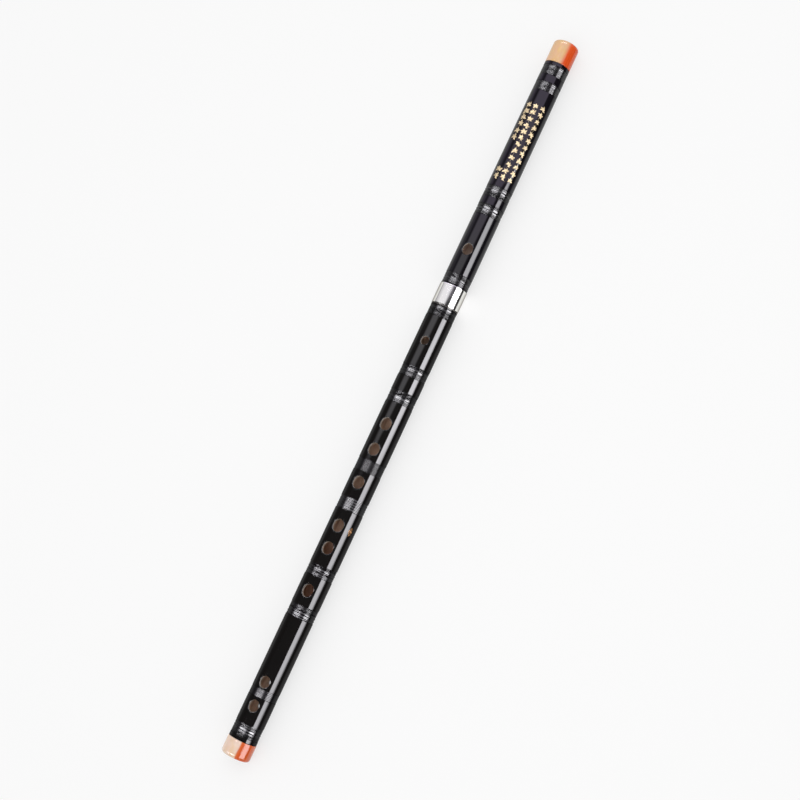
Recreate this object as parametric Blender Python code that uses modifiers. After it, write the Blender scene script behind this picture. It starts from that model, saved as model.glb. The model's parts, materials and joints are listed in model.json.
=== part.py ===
"""A two-section bamboo side-blown flute, lying on the floor with its holes up.

The flute runs along X, foot at -X and head at +X, and its holes face +Z. Sizes are in metres.
A station is a distance along the flute from its foot face. The head section slides and turns
on a metal tenon, and a cork plug closes the bore just above the blow hole.
"""
import math
from itertools import accumulate

import bmesh
import bpy
from mathutils import Matrix, Vector

# Overall length, the bamboo's diameter, its narrowing to the joint and on to the head,
# and its wall at the head, where it is thinnest
LENGTH = 0.500
BODY_DIAMETER = 0.0185
JOINT_TAPER = 0.0004
HEAD_TAPER = 0.0010
BAMBOO_WALL = 0.00175

# Resin end caps, each a sleeve over a turned-down end with a holed end wall
FOOT_CAP_LENGTH = 0.0113
FOOT_CAP_PROUD = 0.0003
HEAD_CAP_LENGTH = 0.0160
HEAD_CAP_PROUD = 0.0001
HEAD_CAP_LEDGE = 0.0013
SPIGOT_WALL = 0.0006
CAP_END_WALL = 0.0020
CAP_FILLET = 0.0022
CAP_FILLET_STEPS = 4
CAP_LEAST_RING = 0.0004

# Metal joint between the two sections
TENON_SHOULDER = 0.0003
TENON_WALL = 0.0004
TENON_IN_BODY = 0.0180
TENON_IN_HEAD = 0.0260
FLANGE_SETBACK = 0.00035
FLANGE_THICKNESS = 0.0005
SOCKET_WALL = 0.0004
SOCKET_SPARE = 0.0020
FERRULE_LENGTH = 0.0138
FERRULE_PROUD = 0.00015
FERRULE_WALL = 0.00065
FERRULE_LIP = 0.0005

# Distances along the flute, each from the place before it, from the foot to the blow hole
END_HOLE_ABOVE_CAP = 0.0224
END_HOLE_SPACING = 0.0158
FINGER_HOLE_ABOVE_END_HOLE = 0.0616
FINGER_HOLE_SPACINGS = (0.0289, 0.0153, 0.0295, 0.0229, 0.0175)
MEMBRANE_HOLE_ABOVE_FINGER_HOLE = 0.0583
JOINT_ABOVE_MEMBRANE_HOLE = 0.0249
EMBOUCHURE_ABOVE_FERRULE = 0.0251
TAPER_BELOW_FINGER_HOLE = 0.0104

# Holes on the front, as length along the flute and width across it, and round ones behind
EMBOUCHURE_LENGTH = 0.0084
EMBOUCHURE_WIDTH = 0.0072
MEMBRANE_HOLE_LENGTH = 0.0062
MEMBRANE_HOLE_WIDTH = 0.0058
FINGER_HOLE_LENGTH = 0.0089
FINGER_HOLE_WIDTH = 0.0076
END_HOLE_LENGTH = 0.0083
END_HOLE_WIDTH = 0.0072
REAR_HOLE_DIAMETER = 0.0060

# Cork plug above the blow hole
STOPPER_SETBACK = 0.0085
STOPPER_LENGTH = 0.0120
STOPPER_CHAMFER = 0.0006

# Thread bindings let into grooves; the gap is the least, and grows to fill a groove
THREAD = 0.0009
THREAD_GAP = 0.00045
THREAD_PROUD = 0.00012
LOOP_POINTS = 16
THREAD_SIDE_GAP = 0.00012

# Clearances: between glued pieces, at end faces, and where a piece slides or turns
GLUE_GAP = 0.0001
SEAM_GAP = 0.0002
RUNNING_GAP = 0.0001

# Faces round each turned piece and round each hole
FACETS = 32
HOLE_FACETS = 24

# Diameters that follow from the sizes above
JOINT_DIAMETER = BODY_DIAMETER - JOINT_TAPER
HEAD_DIAMETER = JOINT_DIAMETER - HEAD_TAPER
BORE = HEAD_DIAMETER - 2 * BAMBOO_WALL
FOOT_CAP_DIAMETER = BODY_DIAMETER + 2 * FOOT_CAP_PROUD
HEAD_CAP_DIAMETER = HEAD_DIAMETER + 2 * HEAD_CAP_PROUD
HEAD_CAP_HOLE = BORE - 2 * HEAD_CAP_LEDGE
CAP_SLEEVE_BORE = BORE + 2 * (SPIGOT_WALL + GLUE_GAP)
TENON_DIAMETER = BORE + 2 * TENON_SHOULDER
SOCKET_BORE = TENON_DIAMETER + 2 * RUNNING_GAP
SOCKET_DIAMETER = SOCKET_BORE + 2 * SOCKET_WALL
FLANGE_DIAMETER = JOINT_DIAMETER - 2 * FLANGE_SETBACK
FERRULE_DIAMETER = JOINT_DIAMETER + 2 * FERRULE_PROUD
FERRULE_BORE = FERRULE_DIAMETER - 2 * FERRULE_WALL

# Stations that follow, and the height of the axis when a flat of the foot cap lies on the floor
FOOT_SHOULDER_AT = FOOT_CAP_LENGTH + SEAM_GAP
LOWER_END_HOLE_AT = FOOT_SHOULDER_AT + END_HOLE_ABOVE_CAP
END_HOLES_AT = (LOWER_END_HOLE_AT + END_HOLE_SPACING, LOWER_END_HOLE_AT)
LOWEST_FINGER_HOLE_AT = END_HOLES_AT[0] + FINGER_HOLE_ABOVE_END_HOLE
FINGER_HOLES_AT = tuple(accumulate(FINGER_HOLE_SPACINGS, initial=LOWEST_FINGER_HOLE_AT))[::-1]
BODY_TAPER_AT = FINGER_HOLES_AT[0] - TAPER_BELOW_FINGER_HOLE
MEMBRANE_HOLE_AT = FINGER_HOLES_AT[0] + MEMBRANE_HOLE_ABOVE_FINGER_HOLE
JOINT_AT = MEMBRANE_HOLE_AT + JOINT_ABOVE_MEMBRANE_HOLE
FLANGE_AT = JOINT_AT + SEAM_GAP / 2
FERRULE_AT = FLANGE_AT + FLANGE_THICKNESS + SEAM_GAP
FERRULE_TOP_AT = FERRULE_AT + FERRULE_LENGTH
TENON_FOOT_AT = JOINT_AT - TENON_IN_BODY
TENON_TOP_AT = FERRULE_AT + TENON_IN_HEAD
SOCKET_TOP_AT = TENON_TOP_AT + SOCKET_SPARE
EMBOUCHURE_AT = FERRULE_TOP_AT + EMBOUCHURE_ABOVE_FERRULE
STOPPER_AT = EMBOUCHURE_AT + STOPPER_SETBACK
HEAD_SHOULDER_AT = LENGTH - HEAD_CAP_LENGTH - SEAM_GAP
HALF_FACET = math.pi / FACETS
AXIS_HEIGHT = FOOT_CAP_DIAMETER / 2 * math.cos(HALF_FACET)

# Each binding's name, the place it is measured from, its middle from there and its length
BINDINGS = (
    ("binding_01", HEAD_SHOULDER_AT, -0.0057, 0.0070),
    ("binding_02", HEAD_SHOULDER_AT, -0.0174, 0.0066),
    ("binding_03", EMBOUCHURE_AT, 0.0413, 0.0078),
    ("binding_04", EMBOUCHURE_AT, 0.0285, 0.0075),
    ("binding_05", FERRULE_TOP_AT, 0.0045, 0.0074),
    ("binding_06", JOINT_AT, -0.0041, 0.0071),
    ("binding_07", MEMBRANE_HOLE_AT, -0.0214, 0.0076),
    ("binding_08", FINGER_HOLES_AT[0], 0.0189, 0.0082),
    ("binding_09", (FINGER_HOLES_AT[1] + FINGER_HOLES_AT[2]) / 2, 0.0, 0.0081),
    ("binding_10", (FINGER_HOLES_AT[2] + FINGER_HOLES_AT[3]) / 2, 0.0, 0.0083),
    ("binding_11", (FINGER_HOLES_AT[4] + FINGER_HOLES_AT[5]) / 2, -0.0010, 0.0076),
    ("binding_12", FINGER_HOLES_AT[5], -0.0140, 0.0083),
    ("binding_13", (END_HOLES_AT[0] + END_HOLES_AT[1]) / 2, 0.0005, 0.0057),
    ("binding_14", FOOT_SHOULDER_AT, 0.0065, 0.0081),
)

# Colour, roughness and metallic value of each finish
FINISHES = {
    "black_lacquer": ((0.012, 0.010, 0.011), 0.12, 0.0),
    "lacquered_thread": ((0.030, 0.028, 0.032), 0.30, 0.0),
    "amber_resin": ((0.85, 0.46, 0.26), 0.15, 0.0),
    "nickel_silver": ((0.80, 0.79, 0.76), 0.20, 1.0),
    "cork": ((0.55, 0.36, 0.20), 0.85, 0.0),
}


def clear_scene() -> None:
    """Removes whatever the scene holds."""
    for thing in list(bpy.data.objects):
        bpy.data.objects.remove(thing, do_unlink=True)


def new_collection(name: str) -> bpy.types.Collection:
    """Adds a collection under the scene's own."""
    collection = bpy.data.collections.new(name)
    bpy.context.scene.collection.children.link(collection)
    return collection


def new_material(name: str, finish: str) -> bpy.types.Material:
    """Makes a piece's own material from a named finish."""
    colour, roughness, metallic = FINISHES[finish]
    material = bpy.data.materials.new(name)
    material.use_nodes = True
    shader = material.node_tree.nodes["Principled BSDF"]
    shader.inputs["Base Color"].default_value = (*colour, 1.0)
    shader.inputs["Roughness"].default_value = roughness
    shader.inputs["Metallic"].default_value = metallic
    material.diffuse_color = (*colour, 1.0)
    return material


def on_axis(station: float) -> Vector:
    """World position of a station on the flute's axis."""
    return Vector((station - LENGTH / 2, 0.0, AXIS_HEIGHT))


def bamboo_radius(station: float) -> float:
    """Outer radius of the bamboo, which narrows to the joint and again to the head."""
    if station <= JOINT_AT:
        run = max(station - BODY_TAPER_AT, 0.0) / (JOINT_AT - BODY_TAPER_AT)
        return (BODY_DIAMETER + (JOINT_DIAMETER - BODY_DIAMETER) * run) / 2
    run = (station - FERRULE_AT) / (HEAD_SHOULDER_AT - FERRULE_AT)
    return (JOINT_DIAMETER + (HEAD_DIAMETER - JOINT_DIAMETER) * run) / 2


def thread_radius(middle: float) -> float:
    """Radius of the thread's own centre line, for a binding whose middle is at a station."""
    return bamboo_radius(middle) + THREAD_PROUD - THREAD / 2


def groove_floor(middle: float) -> float:
    """Radius of a groove's floor, under the straight chords between the thread's points."""
    inner_chord = (thread_radius(middle) - THREAD / 2) * math.cos(math.pi / LOOP_POINTS)
    return inner_chord - GLUE_GAP


def grooved_outline(top: float, bottom: float) -> list[tuple[float, float]]:
    """Outer side of a bamboo section from its upper to its lower station, with its grooves."""
    outline = [(top, bamboo_radius(top))]
    for _name, datum, offset, length in BINDINGS:
        middle = datum + offset
        upper, lower = middle + length / 2, middle - length / 2
        if lower < bottom or upper > top:
            continue
        if lower < BODY_TAPER_AT < outline[-1][0] and upper < BODY_TAPER_AT:
            outline.append((BODY_TAPER_AT, bamboo_radius(BODY_TAPER_AT)))
        floor = groove_floor(middle)
        outline += [(upper, bamboo_radius(upper)), (upper, floor)]
        outline += [(lower, floor), (lower, bamboo_radius(lower))]
    outline.append((bottom, bamboo_radius(bottom)))
    return outline


def turned(name: str, section: list[tuple[float, float]], finish: str, datum: float,
           collection: bpy.types.Collection) -> bpy.types.Object:
    """Turns a section about the flute's axis.

    The section is a list of stations and radii that runs down its outer side, from head to
    foot, and back up its inner side. It is closed, unless its first and last points lie on
    the axis. A flat between two edges faces straight down, so the flute lies still.
    """
    mesh = bpy.data.meshes.new(name)
    points = [(station - datum, radius * math.cos(HALF_FACET), radius * math.sin(HALF_FACET))
              for station, radius in section]
    edges = [(i, i + 1) for i in range(len(points) - 1)]
    if section[0][1] > 0.0:
        edges.append((len(points) - 1, 0))
    mesh.from_pydata(points, edges, [])
    mesh.materials.append(new_material(name, finish))
    piece = bpy.data.objects.new(name, mesh)
    piece.location = on_axis(datum)
    collection.objects.link(piece)
    screw = piece.modifiers.new("turned", "SCREW")
    screw.axis = "X"
    screw.steps = FACETS
    screw.render_steps = FACETS
    screw.use_merge_vertices = True
    screw.merge_threshold = 0.000001
    return piece


def drill(piece: bpy.types.Object, name: str, station: float, length: float, width: float,
          cutters: bpy.types.Collection, rear: bool = False) -> None:
    """Cuts an oval hole through one wall of a turned piece, on the front or on the rear."""
    reach = BODY_DIAMETER
    mesh = bpy.data.meshes.new(name)
    shape = bmesh.new()
    bmesh.ops.create_cone(shape, cap_ends=True, segments=HOLE_FACETS, radius1=0.5, radius2=0.5,
                          depth=1.0)
    size = Matrix.Diagonal((length, width, reach, 1.0))
    middle = Matrix.Translation((0.0, 0.0, -reach / 2 if rear else reach / 2))
    bmesh.ops.transform(shape, matrix=middle @ size, verts=shape.verts)
    shape.to_mesh(mesh)
    shape.free()
    cutter = bpy.data.objects.new(name, mesh)
    cutter.location = on_axis(station)
    cutter.hide_render = True
    cutter.display_type = "WIRE"
    cutters.objects.link(cutter)
    cut = piece.modifiers.new(name, "BOOLEAN")
    cut.operation = "DIFFERENCE"
    cut.solver = "EXACT"
    cut.object = cutter


def cap_fillet(end: float, inward: float, outer: float, hole: float) -> list[tuple[float, float]]:
    """Round edge of a cap, from its end face to its outer side; inward is +1 or -1 along the flute.

    The fillet is no larger than the wall between the hole and the outer side allows.
    """
    fillet = min(CAP_FILLET, outer - hole - CAP_LEAST_RING)
    centre = end + inward * fillet
    turns = [math.pi / 2 * i / CAP_FILLET_STEPS for i in range(CAP_FILLET_STEPS + 1)]
    return [(centre - inward * fillet * math.cos(turn), outer - fillet + fillet * math.sin(turn))
            for turn in turns]


def make_body_tube(parts: bpy.types.Collection, cutters: bpy.types.Collection) -> bpy.types.Object:
    """Lower bamboo section, with its spigot for the foot cap and its seat for the tenon."""
    spigot = CAP_SLEEVE_BORE / 2 - GLUE_GAP
    foot_end = CAP_END_WALL + SEAM_GAP
    seat = TENON_DIAMETER / 2 + RUNNING_GAP
    seat_floor = TENON_FOOT_AT - SEAM_GAP
    section = grooved_outline(JOINT_AT, FOOT_SHOULDER_AT)
    section += [(FOOT_SHOULDER_AT, spigot), (foot_end, spigot), (foot_end, BORE / 2)]
    section += [(seat_floor, BORE / 2), (seat_floor, seat), (JOINT_AT, seat)]
    tube = turned("body_tube", section, "black_lacquer", 0.0, parts)
    drill(tube, "membrane_hole", MEMBRANE_HOLE_AT, MEMBRANE_HOLE_LENGTH, MEMBRANE_HOLE_WIDTH,
          cutters)
    for number, station in enumerate(FINGER_HOLES_AT, 1):
        drill(tube, f"finger_hole_{number}", station, FINGER_HOLE_LENGTH, FINGER_HOLE_WIDTH,
              cutters)
    for number, station in enumerate(END_HOLES_AT, 1):
        drill(tube, f"end_hole_{number}", station, END_HOLE_LENGTH, END_HOLE_WIDTH, cutters)
        drill(tube, f"rear_hole_{number}", station, REAR_HOLE_DIAMETER, REAR_HOLE_DIAMETER,
              cutters, rear=True)
    return tube


def make_head_tube(parts: bpy.types.Collection, cutters: bpy.types.Collection) -> bpy.types.Object:
    """Upper bamboo section, turned down for the ferrule and the head cap."""
    spigot = CAP_SLEEVE_BORE / 2 - GLUE_GAP
    head_end = LENGTH - CAP_END_WALL - SEAM_GAP
    shoulder = FERRULE_TOP_AT + SEAM_GAP
    neck = FERRULE_BORE / 2 - GLUE_GAP
    lower_end = FERRULE_AT + FERRULE_LIP + SEAM_GAP
    seat = SOCKET_DIAMETER / 2 + GLUE_GAP
    seat_top = SOCKET_TOP_AT + SEAM_GAP
    section = [(head_end, spigot), (HEAD_SHOULDER_AT, spigot)]
    section += grooved_outline(HEAD_SHOULDER_AT, shoulder)
    section += [(shoulder, neck), (lower_end, neck), (lower_end, seat)]
    section += [(seat_top, seat), (seat_top, BORE / 2), (head_end, BORE / 2)]
    tube = turned("head_tube", section, "black_lacquer", FERRULE_AT, parts)
    drill(tube, "embouchure", EMBOUCHURE_AT, EMBOUCHURE_LENGTH, EMBOUCHURE_WIDTH, cutters)
    return tube


def make_foot_cap(parts: bpy.types.Collection) -> bpy.types.Object:
    """Resin sleeve over the foot, whose end wall carries on the bore."""
    outer = FOOT_CAP_DIAMETER / 2
    section = [(FOOT_CAP_LENGTH, outer), *reversed(cap_fillet(0.0, 1.0, outer, BORE / 2))]
    section += [(0.0, BORE / 2), (CAP_END_WALL, BORE / 2)]
    section += [(CAP_END_WALL, CAP_SLEEVE_BORE / 2), (FOOT_CAP_LENGTH, CAP_SLEEVE_BORE / 2)]
    return turned("foot_cap", section, "amber_resin", 0.0, parts)


def make_head_cap(parts: bpy.types.Collection) -> bpy.types.Object:
    """Resin sleeve over the head, whose end wall has a smaller hole for a tuning stick."""
    outer = HEAD_CAP_DIAMETER / 2
    hole = HEAD_CAP_HOLE / 2
    mouth = LENGTH - HEAD_CAP_LENGTH
    inner_face = LENGTH - CAP_END_WALL
    section = [*cap_fillet(LENGTH, -1.0, outer, hole), (mouth, outer)]
    section += [(mouth, CAP_SLEEVE_BORE / 2), (inner_face, CAP_SLEEVE_BORE / 2)]
    section += [(inner_face, hole), (LENGTH, hole)]
    return turned("head_cap", section, "amber_resin", mouth, parts)


def make_tenon_tube(parts: bpy.types.Collection) -> bpy.types.Object:
    """Metal tube seated in the body section, with a thin flange over the bamboo's end."""
    outer = TENON_DIAMETER / 2
    inner = outer - TENON_WALL
    flange_top = FLANGE_AT + FLANGE_THICKNESS
    section = [(TENON_TOP_AT, outer), (flange_top, outer), (flange_top, FLANGE_DIAMETER / 2)]
    section += [(FLANGE_AT, FLANGE_DIAMETER / 2), (FLANGE_AT, outer), (TENON_FOOT_AT, outer)]
    section += [(TENON_FOOT_AT, inner), (TENON_TOP_AT, inner)]
    return turned("tenon_tube", section, "nickel_silver", FLANGE_AT, parts)


def make_socket_tube(parts: bpy.types.Collection) -> bpy.types.Object:
    """Metal lining of the head section, which the tenon slides and turns in."""
    outer, inner = SOCKET_DIAMETER / 2, SOCKET_BORE / 2
    section = [(SOCKET_TOP_AT, outer), (FERRULE_AT, outer), (FERRULE_AT, inner), (SOCKET_TOP_AT, inner)]
    return turned("head_socket_tube", section, "nickel_silver", FERRULE_AT, parts)


def make_ferrule(parts: bpy.types.Collection) -> bpy.types.Object:
    """Bright ring round the head section's lower end, with a lip over its end grain."""
    outer, inner = FERRULE_DIAMETER / 2, FERRULE_BORE / 2
    lip = SOCKET_DIAMETER / 2 + GLUE_GAP
    lip_top = FERRULE_AT + FERRULE_LIP
    section = [(FERRULE_TOP_AT, outer), (FERRULE_AT, outer), (FERRULE_AT, lip)]
    section += [(lip_top, lip), (lip_top, inner), (FERRULE_TOP_AT, inner)]
    return turned("joint_ferrule", section, "nickel_silver", FERRULE_AT, parts)


def make_stopper(parts: bpy.types.Collection) -> bpy.types.Object:
    """Cork plug that closes the bore above the blow hole and can be pushed to tune the head."""
    outer = BORE / 2 - RUNNING_GAP
    top = STOPPER_AT + STOPPER_LENGTH
    section = [(top, 0.0), (top, outer - STOPPER_CHAMFER), (top - STOPPER_CHAMFER, outer)]
    section += [(STOPPER_AT + STOPPER_CHAMFER, outer), (STOPPER_AT, outer - STOPPER_CHAMFER)]
    section.append((STOPPER_AT, 0.0))
    return turned("stopper", section, "cork", STOPPER_AT, parts)


def winding_path(radius: float, length: float) -> list[Vector]:
    """Points of one unbroken thread, wound about Z from 0 to length, its ends running straight.

    The middle of a chord faces the floor at every turn, and the ends lie low at the back.
    """
    margin = THREAD / 2 + THREAD_SIDE_GAP
    climb = length - 2 * margin
    turns = max(int(climb / (THREAD + THREAD_GAP)), 1)
    step = 2 * math.pi / LOOP_POINTS
    path = []
    for i in range(turns * LOOP_POINTS + 1):
        turn = step * (i + 1.5)
        path.append(Vector((radius * math.cos(turn), radius * math.sin(turn),
                            margin + climb * i / (turns * LOOP_POINTS))))
    for index, way in ((0, -1.0), (-1, 1.0)):
        end = path[index]
        tangent = Vector((-end.y, end.x, 0.0)).normalized()
        path.insert(0 if way < 0 else len(path), end + tangent * (way * THREAD))
    return path


def least_gap(path: list[Vector]) -> float:
    """Least clear distance between one turn of a thread and another."""
    apart = LOOP_POINTS // 2
    nearest = min((path[i] - path[j]).length
                  for i in range(len(path)) for j in range(i + apart, len(path)))
    return nearest - THREAD


def make_binding(name: str, middle: float, length: float,
                 parts: bpy.types.Collection) -> bpy.types.Object:
    """Thread wound in a groove of the bamboo, as one tube."""
    path = winding_path(thread_radius(middle), length)
    print(f"{name}: least gap between its turns {least_gap(path) * 1000:.2f} mm")
    curve = bpy.data.curves.new(name, "CURVE")
    curve.dimensions = "3D"
    curve.twist_mode = "Z_UP"
    curve.bevel_depth = THREAD / 2
    curve.bevel_resolution = 0
    curve.use_fill_caps = True
    spline = curve.splines.new("POLY")
    spline.points.add(len(path) - 1)
    for point, place in zip(spline.points, path):
        point.co = (*place, 1.0)
    curve.materials.append(new_material(name, "lacquered_thread"))
    piece = bpy.data.objects.new(name, curve)
    piece.location = on_axis(middle - length / 2)
    piece.rotation_euler = (0.0, math.pi / 2, 0.0)
    parts.objects.link(piece)
    return piece


def carry(pieces: list[bpy.types.Object], name: str, station: float,
          parts: bpy.types.Collection) -> bpy.types.Object:
    """Hangs pieces on an empty that lies on the flute's axis, without moving them."""
    carrier = bpy.data.objects.new(name, None)
    carrier.location = on_axis(station)
    parts.objects.link(carrier)
    for piece in pieces:
        piece.parent = carrier
        piece.location = piece.location - carrier.location
    return carrier


def main() -> None:
    """Builds the flute."""
    clear_scene()
    parts = new_collection("bamboo_flute")
    cutters = new_collection("flute_cutters")
    lower = [make_body_tube(parts, cutters), make_foot_cap(parts)]
    middle = [make_tenon_tube(parts)]
    upper = [make_head_tube(parts, cutters), make_head_cap(parts), make_ferrule(parts)]
    upper += [make_socket_tube(parts), make_stopper(parts)]
    for name, datum, offset, length in BINDINGS:
        binding = make_binding(name, datum + offset, length, parts)
        (lower if datum + offset < JOINT_AT else upper).append(binding)
    carry(lower, "body_section", 0.0, parts)
    carry(middle, "joint_swivel", FLANGE_AT, parts)
    carry(upper, "head_section", FERRULE_AT, parts)
    bpy.context.view_layer.update()


main()
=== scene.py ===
"""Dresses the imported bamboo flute: smooth lacquered tubes, thread windings, resin rings and metal joint."""

import json
import logging
import math
import random
from dataclasses import dataclass
from enum import Enum
from typing import Callable, Sequence

import bmesh
import bpy
from mathutils import Matrix, Vector


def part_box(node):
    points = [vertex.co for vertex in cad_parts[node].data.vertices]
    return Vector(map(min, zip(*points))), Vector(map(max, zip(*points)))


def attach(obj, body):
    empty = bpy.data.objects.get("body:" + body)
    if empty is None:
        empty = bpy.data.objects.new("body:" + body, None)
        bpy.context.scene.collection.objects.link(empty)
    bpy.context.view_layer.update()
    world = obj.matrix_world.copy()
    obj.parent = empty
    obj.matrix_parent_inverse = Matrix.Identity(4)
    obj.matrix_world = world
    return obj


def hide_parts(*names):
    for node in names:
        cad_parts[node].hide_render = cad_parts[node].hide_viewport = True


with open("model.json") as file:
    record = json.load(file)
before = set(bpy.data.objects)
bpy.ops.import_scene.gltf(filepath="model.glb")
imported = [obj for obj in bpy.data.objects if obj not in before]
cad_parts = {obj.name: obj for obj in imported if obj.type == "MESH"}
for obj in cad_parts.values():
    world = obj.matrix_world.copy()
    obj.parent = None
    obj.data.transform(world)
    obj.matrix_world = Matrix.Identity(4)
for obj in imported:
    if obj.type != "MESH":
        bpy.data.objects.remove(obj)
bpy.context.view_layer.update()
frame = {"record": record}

LOG = logging.getLogger("flute")

Point = tuple[float, float]
Colour = tuple[float, float, float]
Stretch = tuple[float, float, float]

FULL: Point = (0.0, 1.0)
CLOUD_RANGE: Point = (0.3, 0.7)


class Body(Enum):
    """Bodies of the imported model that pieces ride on."""

    LOWER = "body_section"
    JOINT = "joint_swivel"
    UPPER = "head_section"
    PLUG = "tuning_plug"


class Slot(Enum):
    """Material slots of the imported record."""

    BAMBOO = "lacquered_bamboo"
    THREAD = "lacquered_thread"
    RESIN = "amber_resin"
    NICKEL = "nickel_silver"
    CORK = "cork"


@dataclass(frozen=True)
class Extent:
    """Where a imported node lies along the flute, and its largest radius."""

    foot: float
    head: float
    radius: float

    @classmethod
    def of(cls, node: str) -> "Extent":
        """Reads a node's box.

        Args:
            node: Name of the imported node.

        Returns:
            Its ends along X and its radius about the flute's axis.
        """
        low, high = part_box(node)
        return cls(low.x, high.x, (high.z - low.z) / 2)

    @property
    def middle(self) -> float:
        """Middle of the node along X."""
        return (self.foot + self.head) / 2

    @property
    def length(self) -> float:
        """Length of the node along X."""
        return self.head - self.foot


FOOT_CAP = Extent.of("foot_cap")
HEAD_CAP = Extent.of("head_cap")
LOWER_TUBE = Extent.of("body_tube")
UPPER_TUBE = Extent.of("head_tube")
FERRULE = Extent.of("joint_ferrule")
AXIS_Z = FOOT_CAP.radius
BORE_RADIUS = 0.0068
PAINT_THICKNESS = 0.00003
PAINT_LIFT = 0.00001


def around(x: float, radius: float, turn: float) -> Vector:
    """Place on a circle about the flute's axis.

    Args:
        x: Place along the flute.
        radius: Distance from the axis.
        turn: Angle from straight up towards -Y, in radians.

    Returns:
        The point in world space.
    """
    return Vector((x, -radius * math.sin(turn), AXIS_Z + radius * math.cos(turn)))


def from_axis(spot: Vector) -> Vector:
    """Offset of a place from the flute's axis, straight across it."""
    return Vector((0.0, spot.y, spot.z - AXIS_Z))


# Outlines and turned shapes


@dataclass(frozen=True)
class Corner:
    """Corner of a turned outline: place along the flute, radius, and the size of its rounding."""

    x: float
    radius: float
    fillet: float = 0.0


def rounded(corners: Sequence[Corner], steps: int = 4, closed: bool = True) -> list[Point]:
    """Rounds the corners of an outline with arcs.

    Args:
        corners: Corners in order.
        steps: Segments in each arc.
        closed: Whether the last corner joins the first.

    Returns:
        Points of x and radius.
    """
    points: list[Point] = []
    for i, corner in enumerate(corners):
        here = Vector((corner.x, corner.radius))
        if corner.fillet == 0.0 or (not closed and i in (0, len(corners) - 1)):
            points.append((corner.x, corner.radius))
            continue
        before, after = corners[i - 1], corners[(i + 1) % len(corners)]
        back = (Vector((before.x, before.radius)) - here).normalized()
        ahead = (Vector((after.x, after.radius)) - here).normalized()
        half = back.angle(ahead) / 2
        centre = here + (back + ahead).normalized() * corner.fillet / math.sin(half)
        first = here + back * corner.fillet / math.tan(half) - centre
        last = here + ahead * corner.fillet / math.tan(half) - centre
        sweep = first.angle(last)
        for step in range(steps + 1):
            share = step / steps
            arm = (first * math.sin((1 - share) * sweep) + last * math.sin(share * sweep)) / math.sin(sweep)
            points.append(tuple(centre + arm))
    return held(points, closed)


def held(points: Sequence[Point], closed: bool, hold: float = 0.0003) -> list[Point]:
    """Adds points near both ends of each long straight run, so that it is shaded flat along its length.

    Args:
        points: Points of x and radius.
        closed: Whether the last point joins the first.
        hold: Distance of the new points from the ends of the run.

    Returns:
        The points with the new ones among them.
    """
    following = [*points[1:], points[0]] if closed else points[1:]
    made: list[Point] = []
    for first, last in zip(points, following):
        made.append(first)
        run = Vector(last) - Vector(first)
        if run.length > 5 * hold:
            step = run.normalized() * hold
            made += [tuple(Vector(first) + step), tuple(Vector(last) - step)]
    return made if closed else [*made, points[-1]]


def turned(outline: Sequence[Point], segments: int, closed: bool = True) -> bmesh.types.BMesh:
    """Spins an outline a full turn about the flute's axis.

    Args:
        outline: Points of x and radius.
        segments: Faces round the turn.
        closed: Whether the last point joins the first.

    Returns:
        The turned shape.
    """
    shape = bmesh.new()
    verts = [shape.verts.new(around(x, radius, 0.0)) for x, radius in outline]
    following = verts[1:] + verts[:1] if closed else verts[1:]
    edges = [shape.edges.new(pair) for pair in zip(verts, following)]
    bmesh.ops.spin(shape, geom=verts + edges, cent=(0.0, 0.0, AXIS_Z), axis=(1.0, 0.0, 0.0),
                   angle=math.tau, steps=segments, use_merge=True)
    bmesh.ops.remove_doubles(shape, verts=shape.verts, dist=1e-7)
    bmesh.ops.recalc_face_normals(shape, faces=shape.faces)
    return shape


def as_object(name: str, shape: bmesh.types.BMesh, materials: Sequence[bpy.types.Material],
              sharp_deg: float = 38.0) -> bpy.types.Object:
    """Makes an object of a shape, shaded smooth up to an angle.

    Args:
        name: Name of the piece.
        shape: The shape, which is freed.
        materials: Materials in the order of its material indices.
        sharp_deg: Edges that turn further than this stay sharp.

    Returns:
        The new object, linked to the scene.
    """
    mesh = bpy.data.meshes.new(name)
    shape.to_mesh(mesh)
    shape.free()
    for material in materials:
        mesh.materials.append(material)
    mesh.shade_smooth()
    mesh.set_sharp_from_angle(angle=math.radians(sharp_deg))
    piece = bpy.data.objects.new(name, mesh)
    bpy.context.scene.collection.objects.link(piece)
    return piece


def place(piece: bpy.types.Object, body: Body, slot: Slot | None, *nodes: str) -> None:
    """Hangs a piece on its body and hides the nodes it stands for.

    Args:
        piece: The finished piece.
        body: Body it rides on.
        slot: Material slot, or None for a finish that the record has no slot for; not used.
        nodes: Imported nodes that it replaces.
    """
    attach(piece, body.value)
    if nodes:
        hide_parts(*nodes)
    LOG.info("%s: %d faces on %s", piece.name, len(piece.data.polygons), body.value)


# Finishes


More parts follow.
